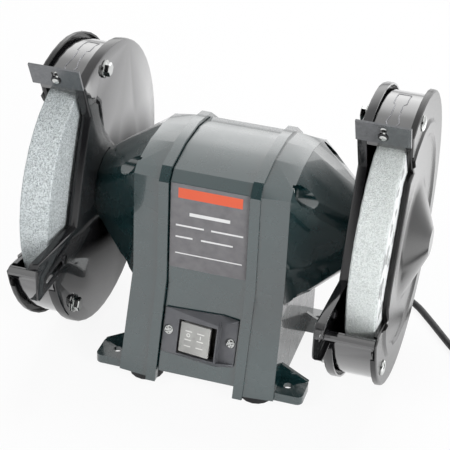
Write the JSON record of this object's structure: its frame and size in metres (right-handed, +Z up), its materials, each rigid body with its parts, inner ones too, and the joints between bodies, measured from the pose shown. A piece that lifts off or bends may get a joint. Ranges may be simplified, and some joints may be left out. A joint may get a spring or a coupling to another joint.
{
  "type": "bench grinder",
  "caption": "Bench grinder: a motor body on a footed base turns a grinding wheel at each end, each in a sheet-metal guard with a spark deflector; rocker switch in front.",
  "frame": {"origin": "bench level, midway along and across the grinder's own outline, its cord left out", "axes": "+X along the spindle to the right wheel as the user faces the switch, +Y away from the user, +Z up"},
  "size_m": [0.4879, 0.299, 0.2608],
  "materials": {
    "body_paint": "gloss",
    "guard_paint": "gloss",
    "grit": "matt",
    "paper": "matt",
    "steel": "machined",
    "zinc": "zinc plated",
    "guard_plate": "satin",
    "laminations": "satin",
    "copper": "enamelled",
    "rubber": "matt",
    "switch_plate": "satin",
    "switch_body": "satin",
    "rocker": "satin",
    "capacitor_can": "satin"
  },
  "bodies": {
    "grinder": {"motor_housing": "body_paint", "left_end_bell": "body_paint", "right_end_bell": "body_paint", "left_inner_guard": "guard_paint", "left_guard_band": "guard_paint", "left_outer_cover": "guard_paint", "right_inner_guard": "guard_paint", "right_guard_band": "guard_paint", "right_outer_cover": "guard_paint", "base_plate": "steel", "left_bearing": "steel", "right_bearing": "steel", "bearing_spring_washer": "steel", "front_top_tie_bolt": "zinc", "back_top_tie_bolt": "zinc", "front_bottom_tie_bolt": "zinc", "back_bottom_tie_bolt": "zinc", "left_guard_bolt_top": "zinc", "left_guard_bolt_front": "zinc", "left_guard_bolt_back": "zinc", "left_rest_screw": "zinc", "left_deflector_screw": "zinc", "right_guard_bolt_top": "zinc", "right_guard_bolt_front": "zinc", "right_guard_bolt_back": "zinc", "right_rest_screw": "zinc", "right_deflector_screw": "zinc", "stator_core": "laminations", "left_winding": "copper", "right_winding": "copper", "left_front_pad": "rubber", "left_back_pad": "rubber", "right_front_pad": "rubber", "right_back_pad": "rubber", "strain_relief": "rubber", "mains_cord": "rubber", "cord_coil": "rubber", "mains_plug": "rubber", "switch_body": "switch_body", "switch_plate": "switch_plate", "run_capacitor": "capacitor_can"},
    "rotor": {"spindle": "steel", "rotor_core": "laminations", "left_wheel": "grit", "left_inner_blotter": "paper", "left_outer_blotter": "paper", "left_inner_flange": "steel", "left_outer_flange": "steel", "left_spindle_nut": "zinc", "right_wheel": "grit", "right_inner_blotter": "paper", "right_outer_blotter": "paper", "right_inner_flange": "steel", "right_outer_flange": "steel", "right_spindle_nut": "zinc"},
    "switch_rocker": {"rocker": "rocker"},
    "left_spark_deflector": {"left_deflector": "guard_plate"},
    "right_spark_deflector": {"right_deflector": "guard_plate"}
  },
  "joints": [
    {"name": "spindle_spin", "type": "hinge", "parent": "grinder", "child": "rotor", "pos_m": [0, 0.0151, 0.1335], "axis": [1, 0, 0], "continuous": true},
    {"name": "rocker_tilt", "type": "hinge", "parent": "grinder", "child": "switch_rocker", "pos_m": [-0.0012, -0.05668, 0.04841], "axis": [0, 0.2979, 0.9546], "range_deg": [0, 24]},
    {"name": "left_deflector_slide", "type": "slide", "parent": "grinder", "child": "left_spark_deflector", "axis": [0, 0.4226, -0.9063], "range_m": [0, 0.008]},
    {"name": "right_deflector_slide", "type": "slide", "parent": "grinder", "child": "right_spark_deflector", "axis": [0, 0.4226, -0.9063], "range_m": [0, 0.008]}
  ]
}
